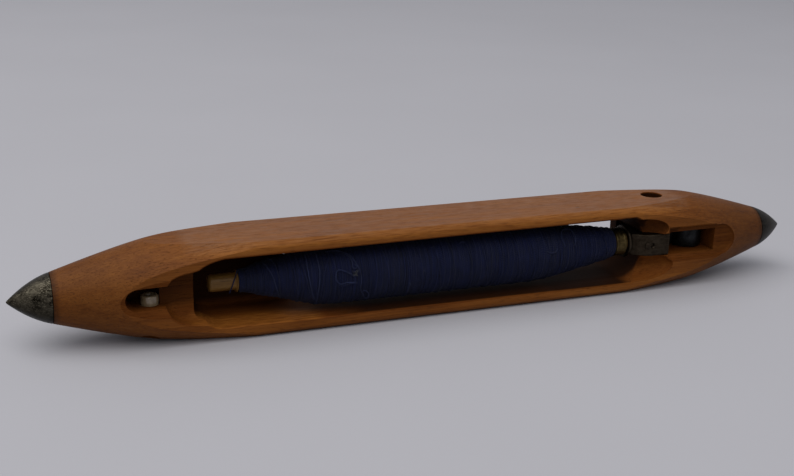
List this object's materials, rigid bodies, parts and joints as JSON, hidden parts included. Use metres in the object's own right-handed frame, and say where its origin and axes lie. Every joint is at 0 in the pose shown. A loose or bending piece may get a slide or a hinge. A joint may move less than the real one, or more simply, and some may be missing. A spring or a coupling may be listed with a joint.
{
  "type": "weaving shuttle",
  "caption": "Wooden power-loom shuttle with steel points, hinged tongue and spindle, loaded thread pirn and porcelain eye.",
  "frame": {"origin": "middle of the shuttle's length and depth, on the front wall's face that it lies on", "axes": "+X along the shuttle to the tongue's end, -Y out of the mouth, +Z from the front wall to the back wall"},
  "size_m": [0.42, 0.04, 0.0466],
  "materials": {
    "body_wood": "worn oil polish",
    "pirn_wood": "varnished, rubbed",
    "point_steel": "dark, scratched",
    "dark_steel": "dull, worn",
    "spring_steel": "blued",
    "brass": "tarnished",
    "porcelain": "glazed",
    "thread": "matt cotton, navy"
  },
  "bodies": {
    "shuttle": {"shuttle_body": "body_wood", "tip_near": "point_steel", "tip_far": "point_steel", "thread_eye": "porcelain", "pivot_pin": "dark_steel", "tongue_spring": "spring_steel", "spring_screw": "dark_steel"},
    "tongue": {"tongue_head": "dark_steel", "spindle": "dark_steel", "grip_spring": "spring_steel", "grip_rivet": "dark_steel"},
    "pirn": {"pirn_barrel": "pirn_wood", "pirn_ferrule": "brass", "pirn_butt_ring": "point_steel", "yarn_core": "thread", "yarn_winding": "thread"}
  },
  "joints": [
    {"name": "tongue_hinge", "type": "hinge", "parent": "shuttle", "child": "tongue", "pos_m": [0.125, 0.0015, 0.0247], "axis": [0, 0, 1], "range_deg": [0, 40]},
    {"name": "pirn_slide", "type": "slide", "parent": "tongue", "child": "pirn", "axis": [-1, 0, 0], "range_m": [0, 0.006]}
  ]
}
